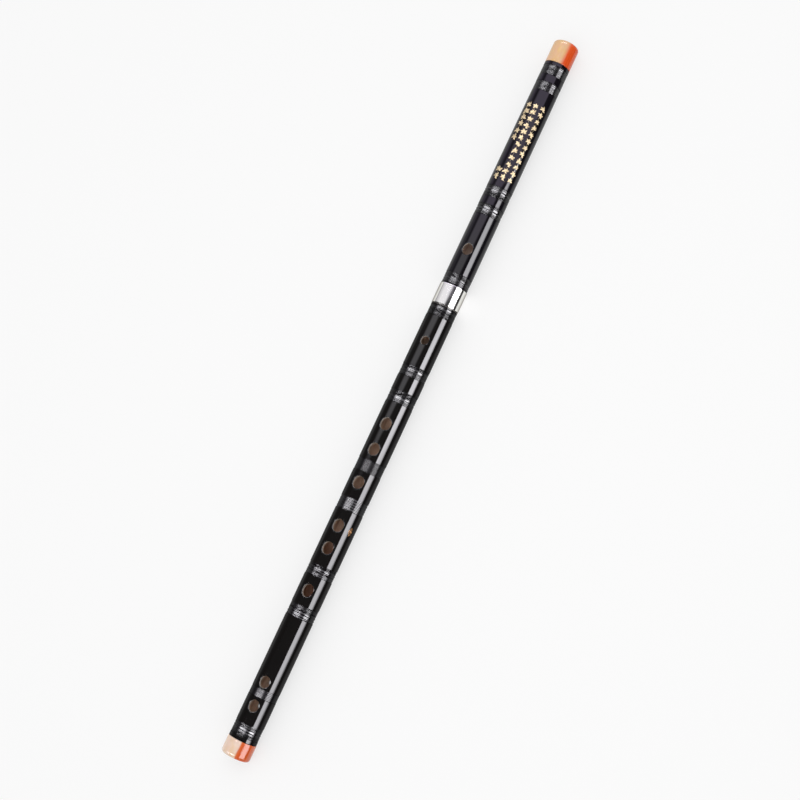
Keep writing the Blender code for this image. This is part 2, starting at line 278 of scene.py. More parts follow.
class Nodes:
    """A node tree, with short calls to add and join its nodes."""

    def __init__(self, tree: bpy.types.NodeTree) -> None:
        """Takes up a tree."""
        self.tree = tree

    def add(self, kind: str, inputs: dict[str | int, object] | None = None,
            **settings: object) -> bpy.types.Node:
        """Adds a node.

        Args:
            kind: Node type, without the ShaderNode prefix.
            inputs: Values or sockets for its inputs, by name or number.
            settings: Properties of the node.

        Returns:
            The node.
        """
        node = self.tree.nodes.new("ShaderNode" + kind)
        for key, value in settings.items():
            setattr(node, key, value)
        for key, value in (inputs or {}).items():
            self.feed(node.inputs[key], value)
        return node

    def feed(self, socket: bpy.types.NodeSocket, value: object) -> None:
        """Links a socket to an input, or sets the input's own value.

        Args:
            socket: The input.
            value: An output socket, or a plain value.
        """
        if isinstance(value, bpy.types.NodeSocket):
            self.tree.links.new(value, socket)
        else:
            socket.default_value = value

    def math(self, operation: str, *values: object) -> bpy.types.NodeSocket:
        """Works out a sum of numbers or sockets.

        Args:
            operation: Name of the Math node's operation.
            values: Its inputs in order.

        Returns:
            The result.
        """
        return self.add("Math", dict(enumerate(values)), operation=operation).outputs["Value"]

    def span(self, value: bpy.types.NodeSocket, source: tuple[object, object], target: Point = FULL,
             smooth: bool = False) -> bpy.types.NodeSocket:
        """Maps a value from one range to another, clamped at both ends.

        Args:
            value: The value.
            source: Its range, as numbers or sockets.
            target: Range of the result.
            smooth: Whether it eases in and out.

        Returns:
            The mapped value.
        """
        ends = {"From Min": source[0], "From Max": source[1], "To Min": target[0], "To Max": target[1]}
        return self.add("MapRange", {"Value": value, **ends},
                        interpolation_type="SMOOTHSTEP" if smooth else "LINEAR").outputs["Result"]

    def within(self, value: bpy.types.NodeSocket, rise: tuple[object, object],
               fall: tuple[object, object]) -> bpy.types.NodeSocket:
        """Share that rises smoothly over one range and falls over a later one.

        Args:
            value: The value that both ranges are of.
            rise: Where the share goes from 0 to 1.
            fall: Where it goes back to 0.

        Returns:
            The share.
        """
        return self.math("MULTIPLY", self.span(value, rise, smooth=True),
                         self.span(value, fall, (1.0, 0.0), smooth=True))

    def mixed(self, share: object, first: object, second: object) -> bpy.types.NodeSocket:
        """Mixes two colours.

        Args:
            share: Share of the second.
            first: A colour or socket.
            second: A colour or socket.

        Returns:
            The mixed colour.
        """
        node = self.add("Mix", {"Factor": share}, data_type="RGBA")
        for socket, value in ((node.inputs[6], first), (node.inputs[7], second)):
            self.feed(socket, (*value, 1.0) if isinstance(value, tuple) else value)
        return node.outputs[2]


class Graph(Nodes):
    """The node tree of a material, with its Principled shader."""

    def __init__(self, name: str) -> None:
        """Starts a material.

        Args:
            name: Name of the material.
        """
        self.material = bpy.data.materials.new(name)
        self.material.use_nodes = True
        super().__init__(self.material.node_tree)
        self.shader = self.tree.nodes["Principled BSDF"]

    def set(self, **values: object) -> None:
        """Feeds the shader's inputs, named with _ for each space."""
        for key, value in values.items():
            self.feed(self.shader.inputs[key.replace("_", " ")], value)

    def place(self, scale: Stretch) -> bpy.types.NodeSocket:
        """Object coordinates about the flute's axis, stretched for a pattern.

        Args:
            scale: Repeats of the pattern in a metre, along each axis.

        Returns:
            The coordinates.
        """
        coords = self.add("TexCoord").outputs["Object"]
        centre = (0.0, 0.0, -AXIS_Z * scale[2])
        return self.add("Mapping", {"Vector": coords, "Scale": scale, "Location": centre}).outputs["Vector"]

    def noise(self, scale: Stretch, detail: float = 2.0, rough: float = 0.5) -> bpy.types.NodeSocket:
        """Noise over stretched object coordinates.

        Args:
            scale: Repeats in a metre, along each axis.
            detail: Number of finer layers.
            rough: Weight of the finer layers.

        Returns:
            The noise's value.
        """
        spot = self.place(scale)
        return self.add("TexNoise", {"Vector": spot, "Scale": 1.0, "Detail": detail,
                                     "Roughness": rough}).outputs["Fac"]

    def polish(self, fade: Point, quiet: float, rim: float, rim_from: float = 0.45) -> bpy.types.NodeSocket:
        """Coat weight that is full from the front, quiet further round and stronger again at the rim.

        Args:
            fade: Where the full polish fades, as the Facing value of a Layer Weight node.
            quiet: Weight after the fade.
            rim: Weight at the rim.
            rim_from: Facing value from which the rim's weight holds.

        Returns:
            The weight.
        """
        facing = self.add("LayerWeight", {"Blend": 0.5}).outputs["Facing"]
        front = self.span(facing, fade, (1.0, quiet), smooth=True)
        return self.math("MAXIMUM", front, self.span(facing, (fade[1], rim_from), (quiet, rim)))

    def bump(self, height: bpy.types.NodeSocket, depth: float) -> None:
        """Raises the surface by a height of 0 to 1 times a depth in metres."""
        node = self.add("Bump", {"Height": height, "Distance": depth, "Strength": 1.0})
        self.feed(self.shader.inputs["Normal"], node.outputs["Normal"])


@dataclass(frozen=True)
class Lacquer:
    """Deep black lacquer over bamboo, mirror-like from the front and quiet at the edges."""

    name: str
    dark: Colour = (0.0062, 0.0055, 0.0053)
    light: Colour = (0.0090, 0.0080, 0.0078)
    gloss_ior: float = 1.66
    quiet: float = 0.03
    rim: float = 0.22
    fade: Point = (0.10, 0.20)
    blur: float = 0.035
    roughness: Point = (0.16, 0.26)
    cloud: Stretch = (60.0, 160.0, 160.0)
    fibre: Stretch = (35.0, 900.0, 900.0)
    depth: float = 0.000004

    def build(self) -> bpy.types.Material:
        """Makes the material.

        Returns:
            The lacquer.
        """
        graph = Graph(self.name)
        cloud = graph.noise(self.cloud)
        graph.set(Base_Color=graph.mixed(cloud, self.dark, self.light))
        graph.set(Roughness=graph.span(cloud, CLOUD_RANGE, self.roughness))
        graph.set(Specular_IOR_Level=0.0, Coat_IOR=self.gloss_ior, Coat_Roughness=self.blur)
        graph.set(Coat_Weight=graph.polish(self.fade, self.quiet, self.rim))
        graph.bump(graph.noise(self.fibre, detail=1.0), self.depth)
        return graph.material


@dataclass(frozen=True)
class LacqueredThread:
    """Black thread under lacquer, with a fine ripple along the thread."""

    name: str
    dark: Colour = (0.0030, 0.0028, 0.0032)
    light: Colour = (0.0085, 0.0080, 0.0092)
    gloss_ior: float = 2.0
    quiet: float = 0.10
    rim: float = 0.22
    fade: Point = (0.12, 0.25)
    blur: float = 0.07
    roughness: Point = (0.20, 0.38)
    cloud: Stretch = (260.0, 420.0, 420.0)
    ripple: Stretch = (1.0, 0.25, 0.25)
    ripples: float = 900.0
    depth: float = 0.000012

    def build(self) -> bpy.types.Material:
        """Makes the material.

        Returns:
            The thread's finish.
        """
        graph = Graph(self.name)
        wave = {"Vector": graph.place(self.ripple), "Scale": self.ripples, "Distortion": 1.2, "Detail": 1.0,
                "Detail Scale": 2.0}
        strand = graph.add("TexWave", wave, wave_type="BANDS", bands_direction="X").outputs["Fac"]
        graph.set(Base_Color=graph.mixed(strand, self.dark, self.light))
        graph.set(Roughness=graph.span(graph.noise(self.cloud), CLOUD_RANGE, self.roughness))
        graph.set(Specular_IOR_Level=0.0, Coat_IOR=self.gloss_ior, Coat_Roughness=self.blur)
        graph.set(Coat_Weight=graph.polish(self.fade, self.quiet, self.rim))
        graph.bump(strand, self.depth)
        return graph.material


@dataclass(frozen=True)
class Resin:
    """Polished orange resin with faint veins, and a painted pale sheen of light on one side."""

    name: str
    # The cream and blush colours are a painted sheen: the side where the soft light falls, painted pale.
    sheen_cream: Colour = (0.79, 0.50, 0.223)
    sheen_blush: Colour = (0.81, 0.49, 0.307)
    orange: Colour = (0.84, 0.110, 0.018)
    deep: Colour = (0.77, 0.076, 0.010)
    sheen_border: Point = (-0.28, 0.12)
    polish: float = 0.50
    sheen_turn_deg: float = -68.0
    wander: float = 0.16
    patches: Point = (0.35, 0.65)
    roughness: Point = (0.16, 0.26)
    vein: Stretch = (60.0, 700.0, 700.0)
    cloud: Stretch = (180.0, 260.0, 260.0)
    depth: float = 0.000003

    def build(self) -> bpy.types.Material:
        """Makes the material.

        Returns:
            The resin.
        """
        graph = Graph(self.name)
        # Painted sheen: the side turned this way is painted pale cream and the rest stays orange; the veins
        # make the border wander.
        turn = math.radians(self.sheen_turn_deg)
        sheen_side = (0.0, -math.sin(turn), math.cos(turn))
        flat = graph.add("VectorMath", {0: graph.place((0.0, 1.0, 1.0))}, operation="NORMALIZE")
        side = graph.add("VectorMath", {0: flat.outputs["Vector"], 1: sheen_side}, operation="DOT_PRODUCT")
        vein = graph.noise(self.vein, detail=3.0, rough=0.6)
        cloud = graph.noise(self.cloud)
        wander = graph.math("MULTIPLY", graph.math("SUBTRACT", vein, 0.5), self.wander)
        sheen_share = graph.span(graph.math("ADD", side.outputs["Value"], wander), self.sheen_border, smooth=True)
        warm = graph.mixed(graph.span(vein, self.patches), self.deep, self.orange)
        pale = graph.mixed(graph.span(cloud, self.patches), self.sheen_cream, self.sheen_blush)
        graph.set(Base_Color=graph.mixed(sheen_share, warm, pale))
        graph.set(Roughness=graph.span(cloud, CLOUD_RANGE, self.roughness), Specular_IOR_Level=0.1)
        graph.set(Coat_Weight=self.polish, Coat_IOR=1.56, Coat_Roughness=0.04)
        graph.set(Subsurface_Weight=0.10, Subsurface_Radius=(0.0012, 0.0006, 0.0004), Subsurface_Scale=1.0)
        graph.bump(vein, self.depth)
        return graph.material


@dataclass(frozen=True)
class NickelSilver:
    """Nickel silver with faint turning lines, a few dull patches and painted shade on its rims."""

    name: str = "nickel_silver"
    bright: Colour = (0.89, 0.89, 0.85)
    dull: Colour = (0.81, 0.805, 0.765)
    roughness: Point = (0.09, 0.14)
    # Specular tint at grazing angles, darkened: a painted shade that dims the rims' reflections.
    edge: Colour = (0.20, 0.17, 0.15)
    lines: Stretch = (5200.0, 60.0, 60.0)
    patch: Stretch = (120.0, 190.0, 190.0)
    depth: float = 0.0000015

    def build(self) -> bpy.types.Material:
        """Makes the material.

        Returns:
            The metal.
        """
        graph = Graph(self.name)
        patch = graph.noise(self.patch)
        graph.set(Metallic=1.0, Base_Color=graph.mixed(patch, self.dull, self.bright))
        # Painted shade on the rims: a dark specular tint at grazing angles.
        graph.set(Specular_Tint=(*self.edge, 1.0))
        graph.set(Roughness=graph.span(patch, CLOUD_RANGE, self.roughness))
        graph.bump(graph.noise(self.lines, detail=1.0), self.depth)
        return graph.material


@dataclass(frozen=True)
class Gilt:
    """Pale gold paint, slightly grainy and worn."""

    name: str
    gold: Colour = (0.76, 0.62, 0.38)
    worn: Colour = (0.38, 0.28, 0.145)
    wear: Point = (0.36, 0.58)
    roughness: Point = (0.34, 0.52)
    metallic: float = 0.35
    grain: Stretch = (2600.0, 2600.0, 2600.0)
    depth: float = 0.000008

    def build(self) -> bpy.types.Material:
        """Makes the material.

        Returns:
            The paint.
        """
        graph = Graph(self.name)
        grain = graph.noise(self.grain)
        graph.set(Base_Color=graph.mixed(graph.span(grain, self.wear), self.worn, self.gold))
        graph.set(Roughness=graph.span(grain, CLOUD_RANGE, self.roughness), Metallic=self.metallic)
        graph.bump(grain, self.depth)
        return graph.material


@dataclass(frozen=True)
class Bamboo:
    """Bare bamboo with lengthwise fibres, in the bore and in the cut walls of the holes, darker over one
    stretch along the flute or not.
    """

    name: str
    dark: Colour
    light: Colour
    darker_colour: Colour | None = None
    darker_foot: Point = (-0.185, -0.160)
    darker_head: Point = (-0.100, -0.112)
    tones: Point = (0.38, 0.62)
    roughness: Point = (0.45, 0.65)
    fibre: Stretch = (50.0, 1400.0, 1400.0)
    patch: Stretch = (130.0, 130.0, 130.0)
    depth: float = 0.00003

    def build(self) -> bpy.types.Material:
        """Makes the material.

        Returns:
            The bamboo.
        """
        graph = Graph(self.name)
        fibre = graph.noise(self.fibre, detail=3.0, rough=0.6)
        tone = graph.math("MULTIPLY", graph.math("ADD", fibre, graph.noise(self.patch)), 0.5)
        colour = graph.mixed(graph.span(tone, self.tones), self.dark, self.light)
        # Where set, a darker colour is mixed in over one stretch along X.
        if self.darker_colour:
            x = graph.add("SeparateXYZ", {"Vector": graph.place((1.0, 1.0, 1.0))}).outputs["X"]
            darker_share = graph.math("MULTIPLY", graph.span(x, self.darker_foot, smooth=True),
                               graph.span(x, self.darker_head, smooth=True))
            colour = graph.mixed(darker_share, colour, self.darker_colour)
        graph.set(Base_Color=colour, Roughness=graph.span(fibre, CLOUD_RANGE, self.roughness))
        graph.bump(fibre, self.depth)
        return graph.material


@dataclass(frozen=True)
class Cork:
    """Fine-grained cork with dark flecks."""

    name: str = "cork"
    pale: Colour = (0.52, 0.34, 0.19)
    fleck: Colour = (0.20, 0.11, 0.055)
    flecks: Point = (0.38, 0.50)
    roughness: Point = (0.75, 0.95)
    grain: Stretch = (900.0, 900.0, 900.0)
    depth: float = 0.00012

    def build(self) -> bpy.types.Material:
        """Makes the material.

        Returns:
            The cork.
        """
        graph = Graph(self.name)
        grain = graph.noise(self.grain, detail=4.0, rough=0.65)
        graph.set(Base_Color=graph.mixed(graph.span(grain, self.flecks), self.fleck, self.pale))
        graph.set(Roughness=graph.span(grain, CLOUD_RANGE, self.roughness))
        graph.bump(grain, self.depth)
        return graph.material


# Bamboo tubes and their holes


class TubeFinish(Enum):
    """Material index of each side of a bamboo tube."""

    SKIN = 0
    CUT = 1
    INSIDE = 2


@dataclass(frozen=True)
class Hole:
    """Oval hole through one wall, with a rounded lacquered rim."""

    x: float
    length: float
    width: float
    rear: bool = False
    rim: float = 0.00040
    segments: int = 72
    rim_steps: int = 5
    rim_turn_deg: float = 62.0
    flare: float = 0.00012
    clear: float = 0.0008

    def cutter(self, surface: Callable[[float], float]) -> bmesh.types.BMesh:
        """Makes the solid that cuts this hole: straight walls, then a flare with a rounded rim.

        Args:
            surface: Radius of the tube's outer side at a place along X.

        Returns:
            The cutter.
        """
        last_turn = math.radians(self.rim_turn_deg)
        inset = self.rim * (1 - math.cos(last_turn) + (1 - math.sin(last_turn)) * math.tan(last_turn))
        flare = inset + self.flare * math.tan(last_turn)
        rings = [(0.0, BORE_RADIUS / 3, False)]
        for step in range(self.rim_steps + 1):
            turn = last_turn * step / self.rim_steps
            rings.append((self.rim * (1 - math.cos(turn)), -self.rim * (1 - math.sin(turn)), True))
        rings += [(flare, self.flare, True), (flare, surface(self.x) + self.clear, False)]
        shape = bmesh.new()
        made: list[list[bmesh.types.BMVert]] = []
        for grow, rise, on_skin in rings:
            ring = bmesh.ops.create_circle(shape, segments=self.segments, radius=1.0)["verts"]
            for vert in ring:
                across = vert.co.y * (self.width / 2 - inset + grow)
                x = self.x + vert.co.x * (self.length / 2 - inset + grow)
                height = rise + (math.sqrt(surface(x) ** 2 - across ** 2) if on_skin else 0.0)
                vert.co = Vector((x, across, AXIS_Z + (-height if self.rear else height)))
            made.append(ring)
        for index, (lower, upper) in enumerate(zip(made, made[1:])):
            rims = (set(lower), set(upper))
            loops = [edge for edge in shape.edges if any(set(edge.verts) <= rim for rim in rims)]
            for face in bmesh.ops.bridge_loops(shape, edges=loops)["faces"]:
                face.material_index = (TubeFinish.SKIN if index else TubeFinish.CUT).value
        for ring in (made[0], made[-1]):
            bmesh.ops.contextual_create(shape, geom=ring)
        bmesh.ops.recalc_face_normals(shape, faces=shape.faces)
        if shape.calc_volume(signed=True) < 0.0:
            bmesh.ops.reverse_faces(shape, faces=shape.faces)
        return shape


@dataclass
class BambooTube:
    """A lacquered bamboo section: straight runs between rounded grooves, drilled and smoothly shaded."""

    name: str
    node: str
    body: Body
    foot: float
    head: float
    knots: tuple[Point, ...]
    bands: tuple[str, ...]
    holes: tuple[Hole, ...]
    spigot_foot: Point
    seat: tuple[float, float, float]
    spigot_head: Point | None = None
    segments: int = 240
    groove_depth: float = 0.00045
    groove_margin: float = 0.00010
    groove_fillet: float = 0.00006
    end_fillet: float = 0.0001
    bore_margin: float = 0.001
    sharp_deg: float = 40.0
    facing: float = 0.97
    near: float = 0.00002

    def surface(self, x: float) -> float:
        """Radius of the outer side, from the tube's knots.

        Args:
            x: Place along the flute.

        Returns:
            The radius there.
        """
        for (x0, r0), (x1, r1) in zip(self.knots, self.knots[1:]):
            if x <= x1:
                break
        return r0 + (r1 - r0) * (x - x0) / (x1 - x0)

    def groove(self, node: str) -> tuple[float, list[Corner]]:
        """Groove that a band of thread lies in.

        Args:
            node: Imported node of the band.

        Returns:
            The groove's foot end, and its corners.
        """
        band = Extent.of(node)
        low, high = band.foot - self.groove_margin, band.head + self.groove_margin
        floor = self.surface(band.middle) - self.groove_depth
        return low, [Corner(low, self.surface(low), self.groove_fillet), Corner(low, floor),
                     Corner(high, floor), Corner(high, self.surface(high), self.groove_fillet)]

    def outline(self) -> list[Point]:
        """Closed outline of the tube, out along its skin and back along its bore.

        Returns:
            Points of x and radius.
        """
        stops = [self.groove(band) for band in self.bands]
        stops += [(x, [Corner(x, radius)]) for x, radius in self.knots[1:-1]]
        corners = [Corner(self.foot, self.surface(self.foot), self.end_fillet)]
        for _x, stop in sorted(stops, key=lambda entry: entry[0]):
            corners += stop
        corners.append(Corner(self.head, self.surface(self.head), self.end_fillet))
        top = self.head
        if self.spigot_head:
            top, radius = self.spigot_head
            corners += [Corner(self.head, radius), Corner(top, radius)]
        bottom, spigot = self.spigot_foot
        low, high, radius = self.seat
        if high >= top:
            corners += [Corner(top, radius), Corner(low, radius), Corner(low, BORE_RADIUS),
                        Corner(bottom, BORE_RADIUS)]
        else:
            corners += [Corner(top, BORE_RADIUS), Corner(high, BORE_RADIUS), Corner(high, radius),
                        Corner(bottom, radius)]
        corners += [Corner(bottom, spigot), Corner(self.foot, spigot)]
        return rounded(corners, steps=3)

    def build(self, finishes: Sequence[bpy.types.Material]) -> None:
        """Turns, drills, shades and places the tube.

        Args:
            finishes: Materials in the order of TubeFinish.
        """
        shape = turned(self.outline(), self.segments)
        for face in shape.faces:
            centre = face.calc_center_median()
            reach = math.hypot(centre.y, centre.z - AXIS_Z)
            inward = face.normal.y * centre.y + face.normal.z * (centre.z - AXIS_Z) < 0.0
            inside = inward and reach < BORE_RADIUS + self.bore_margin
            face.material_index = (TubeFinish.INSIDE if inside else TubeFinish.SKIN).value
        blank = as_object(self.name, shape, finishes)
        drills = [as_object(f"{self.name}_drill", hole.cutter(self.surface), finishes)
                  for hole in self.holes]
        for drill in drills:
            cut = blank.modifiers.new("hole", "BOOLEAN")
            cut.operation = "DIFFERENCE"
            cut.solver = "EXACT"
            cut.object = drill
        bpy.context.view_layer.update()
        mesh = bpy.data.meshes.new_from_object(blank.evaluated_get(bpy.context.evaluated_depsgraph_get()))
        for drill in drills:
            bpy.data.objects.remove(drill, do_unlink=True)
        blank.modifiers.clear()
        blank.data = mesh
        mesh.name = self.name
        self.smooth(mesh)
        place(blank, self.body, Slot.BAMBOO, self.node)

    def smooth(self, mesh: bpy.types.Mesh) -> None:
        """Gives the skin and the bore the normals of a true round tube, whatever cut their faces.

        Args:
            mesh: The drilled tube.
        """
        mesh.shade_smooth()
        mesh.set_sharp_from_angle(angle=math.radians(self.sharp_deg))
        normals = [Vector(corner.vector) for corner in mesh.corner_normals]
        for face in mesh.polygons:
            arm = from_axis(face.center)
            outward = face.normal.dot(arm.normalized())
            skin = outward > self.facing and arm.length > self.surface(face.center.x) - self.near
            bore = outward < -self.facing and arm.length < BORE_RADIUS + self.near
            if not (skin or bore):
                continue
            for loop in face.loop_indices:
                away = from_axis(mesh.vertices[mesh.loops[loop].vertex_index].co).normalized()
                normals[loop] = away if skin else -away
        mesh.normals_split_custom_set(normals)


@dataclass(frozen=True)
class Lay:
    """How one band is wound: its turns, and their relative widths at even places from the head end."""

    turns: int
    widths: tuple[float, ...]
    ridge: float = 0.00028

    def width(self, share: float) -> float:
        """Relative width of a turn, eased from one given width to the next.

        Args:
            share: Place along the band from its foot end, of its length.

        Returns:
            The width there.
        """
        spot = (1.0 - share) * (len(self.widths) - 1)
        first = min(int(spot), len(self.widths) - 2)
        part = spot - first
        part *= part * (3.0 - 2.0 * part)
        return self.widths[first] + (self.widths[first + 1] - self.widths[first]) * part


@dataclass
class Winding:
    """A band of thread wound in its groove and lacquered over: one unbroken helix of uneven ridges."""

    name: str
    node: str
    body: Body
    lay: Lay
    step: float = 0.00009
    depth: float = 0.00042
    shoulder: float = 0.00045
    skin: float = 0.00002
    near: float = 1e-6
    segments: int = 168

    def laid(self, length: float) -> list[float]:
        """Number of turns laid up to each row of points along the band.

        Args:
            length: The band's length.

        Returns:
            One number for each row, from the foot end.
        """
        rows = round(length / self.step)
        density = [1.0 / self.lay.width(row / rows) for row in range(rows)]
        return [self.lay.turns * sum(density[:row]) / sum(density) for row in range(rows + 1)]

    def build(self, finish: bpy.types.Material) -> None:
        """Turns the band, raises its helix of ridges and places it.

        Args:
            finish: The thread's material.
        """
        lie = Extent.of(self.node)
        low, high, crest = lie.foot, lie.head, lie.radius
        laid = self.laid(lie.length)
        rows = len(laid) - 1
        outline = [(low, crest - self.depth)]
        outline += [(low + lie.length * row / rows, crest) for row in range(rows + 1)]
        outline.append((high, crest - self.depth))
        shape = turned(outline, self.segments)
        for vert in shape.verts:
            arm = from_axis(vert.co)
            if arm.length < crest - self.near:
                continue
            along = vert.co.x - low
            turns = laid[min(max(round(along / lie.length * rows), 0), rows)]
            valley = math.cos(math.pi * (turns + math.atan2(-arm.y, arm.z) / math.tau)) ** 2
            edge = min(along, lie.length - along) / self.shoulder
            rounding = 1.0 - math.sqrt(max(1.0 - (1.0 - min(edge, 1.0)) ** 2, 0.0))
            sunk = max(self.lay.ridge * valley, (self.depth - self.skin) * rounding)
            arm.normalize()
            vert.co = Vector((vert.co.x, arm.y * (crest - sunk), AXIS_Z + arm.z * (crest - sunk)))
        bmesh.ops.recalc_face_normals(shape, faces=shape.faces)
        place(as_object(self.name, shape, [finish]), self.body, Slot.THREAD, self.node)


# Caps, metal joint and plug


@dataclass
class EndRing:
    """A resin ring over one end of the flute, rounded at its end and slightly at its mouth."""

    name: str
    node: str
    body: Body
    hole: float
    end_round: float = 0.0022
    least_ring: float = 0.0004
    mouth_round: float = 0.0002
    hole_round: float = 0.0003
    end_wall: float = 0.0020
    sleeve: float = 0.0075
    segments: int = 240

    def build(self, finish: bpy.types.Material, at_foot: bool) -> None:
        """Turns and places the ring.

        Args:
            finish: The resin.
            at_foot: Whether its closed end is at the foot.
        """
        lie = Extent.of(self.node)
        end, mouth, inward = (lie.foot, lie.head, 1.0) if at_foot else (lie.head, lie.foot, -1.0)
        fillet = min(self.end_round, lie.radius - self.hole - self.least_ring)
        ledge = end + inward * self.end_wall
        corners = [Corner(end, lie.radius, fillet), Corner(mouth, lie.radius, self.mouth_round),
                   Corner(mouth, self.sleeve), Corner(ledge, self.sleeve),
                   Corner(ledge, self.hole), Corner(end, self.hole, self.hole_round)]
        shape = turned(rounded(corners, steps=8), self.segments)
        place(as_object(self.name, shape, [finish]), self.body, Slot.RESIN, self.node)


@dataclass
class MetalRing:
    """A turned metal piece of the joint, given by its corners."""

    name: str
    node: str
    body: Body
    corners: tuple[Corner, ...]
    # Radius beyond which faces take the dark finish: painted shade in the joint's seam.
    seam_shade_from: float = 1.0
    segments: int = 240

    def build(self, polished: bpy.types.Material, seam_shade: bpy.types.Material) -> None:
        """Turns and places the piece, with its flange beyond one radius painted dark as the shade in the
        joint's seam.

        Args:
            polished: Finish of the piece.
            seam_shade: Dark finish of its flange, a painted shade in the seam.
        """
        shape = turned(rounded(self.corners), self.segments)
        # Faces beyond the flange radius take the dark finish, a painted shade in the seam.
        for face in shape.faces:
            face.material_index = int(from_axis(face.calc_center_median()).length > self.seam_shade_from)
        place(as_object(self.name, shape, [polished, seam_shade]), self.body, Slot.NICKEL, self.node)


@dataclass
class CorkPlug:
    """The cork that closes the bore above the blow hole."""

    node: str = "stopper"
    chamfer: float = 0.0006
    segments: int = 96

    def build(self, finish: bpy.types.Material) -> None:
        """Turns and places the plug.

        Args:
            finish: The cork's material.
        """
        lie = Extent.of(self.node)
        corners = [Corner(lie.foot, 0.0), Corner(lie.foot, lie.radius, self.chamfer),
                   Corner(lie.head, lie.radius, self.chamfer), Corner(lie.head, 0.0)]
        shape = turned(rounded(corners, closed=False), self.segments, closed=False)
        place(as_object("cork_plug", shape, [finish]), Body.PLUG, Slot.CORK, self.node)


# Gilt ornament


def raise_paint(shape: bmesh.types.BMesh) -> None:
    """Turns a flat painted shape outwards and gives the paint its thickness.

    Args:
        shape: The shape, already rolled onto the lacquer.
    """
    shape.normal_update()
    for face in shape.faces:
        if face.normal.dot(from_axis(face.calc_center_median())) < 0.0:
            face.normal_flip()
    bmesh.ops.solidify(shape, geom=shape.faces, thickness=-PAINT_THICKNESS)


@dataclass(frozen=True)
class Vine:
    """One painted stem with its sprigs: angle round the flute, first sprig, number and size."""

    turn_deg: float
    first: int
    sprigs: int
    size: float = 1.0


@dataclass
class GiltVines:
    """Gilt leaf sprigs painted in rows along the head section."""

    head: float
    surface: Callable[[float], float]
    vines: tuple[Vine, ...] = (Vine(-27.4, 0, 6, 1.2), Vine(-27.4, 10, 2, 1.2), Vine(5.6, 0, 12, 1.08),
                              Vine(40.9, 0, 12))
    pitch: float = 0.00468
    leaf_length: float = 0.00215
    leaf_width: float = 0.00108
    leaf_bend: float = 0.12
    leaf_skew: float = 0.8
    fan_deg: tuple[float, ...] = (0.0, 60.0, -60.0, 122.0, -122.0)
    stem_width: float = 0.00008
    stem_part: float = 0.0006
    stem_swing: float = 0.00018
    stem_gap: float = 0.0008
    sprig_place: float = 0.60
    place_wander: float = 0.0003
    sprig_lean_deg: float = 28.0
    leaf_wander_deg: float = 9.0
    leaf_sizes: Point = (0.76, 1.12)

    def wrap(self, verts: Sequence[bmesh.types.BMVert], x: float, turn: float) -> None:
        """Rolls flat points, in metres about a place, onto the lacquer.

        Args:
            verts: The points.
            x: The place along the flute.
            turn: Its angle round the flute.
        """
        for vert in verts:
            here = x + vert.co.x
            radius = self.surface(here)
            vert.co = around(here, radius + PAINT_LIFT + vert.co.z, turn + vert.co.y / radius)

    def leaf(self, shape: bmesh.types.BMesh, x: float, turn: float, heading: float, size: float) -> None:
        """Adds one pointed leaf, wrapped onto the lacquer.

        Args:
            shape: Shape that gathers the gilding.
            x: Place of the leaf's base along the flute.
            turn: Angle of its base round the flute.
            heading: Direction of the leaf on the surface, from +X.
            size: Its size against the usual one.
        """
        made = bmesh.ops.create_grid(shape, x_segments=8, y_segments=2, size=0.5)["verts"]
        for vert in made:
            along, across = vert.co.x + 0.5, vert.co.y
            swell = math.sin(math.pi * along ** self.leaf_skew)
            bend = self.leaf_bend * self.leaf_length * math.sin(math.pi * along)
            side = across * self.leaf_width * size * swell + bend
            vert.co = Vector((along * self.leaf_length * size, side, 0.0))
        bmesh.ops.rotate(shape, verts=made, cent=(0.0, 0.0, 0.0), matrix=Matrix.Rotation(heading, 3, "Z"))
        self.wrap(made, x, turn)

    def stem(self, shape: bmesh.types.BMesh, low: float, high: float, turn: float) -> None:
        """Adds a thin stem, wrapped onto the lacquer.

        Args:
            shape: Shape that gathers the gilding.
            low: Its foot end along the flute.
            high: Its head end.
            turn: Its angle round the flute.
        """
        length = high - low
        parts = max(round(length / self.stem_part), 2)
        made = bmesh.ops.create_grid(shape, x_segments=parts, y_segments=1, size=0.5)["verts"]
        for vert in made:
            along, across = vert.co.x + 0.5, vert.co.y
            swing = self.stem_swing * math.sin(math.tau * along * length / self.pitch / 2)
            vert.co = Vector((along * length, across * self.stem_width + swing, 0.0))
        self.wrap(made, low, turn)

    def build(self, finish: bpy.types.Material, dice: random.Random) -> None:
        """Lays out the sprigs and places the gilding.

        Args:
            finish: The gilt paint.
            dice: Seeded random numbers for the leaves.
        """
        shape = bmesh.new()
        for vine in self.vines:
            turn = math.radians(vine.turn_deg)
            top = self.head - vine.first * self.pitch
            self.stem(shape, top - vine.sprigs * self.pitch, top - self.stem_gap, turn)
            for sprig in range(vine.sprigs):
                base = top - (sprig + self.sprig_place) * self.pitch
                base += dice.uniform(-self.place_wander, self.place_wander)
                lean = dice.uniform(-self.sprig_lean_deg, self.sprig_lean_deg)
                for fan in self.fan_deg:
                    wander = dice.uniform(-self.leaf_wander_deg, self.leaf_wander_deg)
                    size = vine.size * dice.uniform(*self.leaf_sizes)
                    self.leaf(shape, base, turn, math.radians(fan + lean + wander), size)
        raise_paint(shape)
        place(as_object("gilt_sprigs", shape, [finish]), Body.UPPER, None)


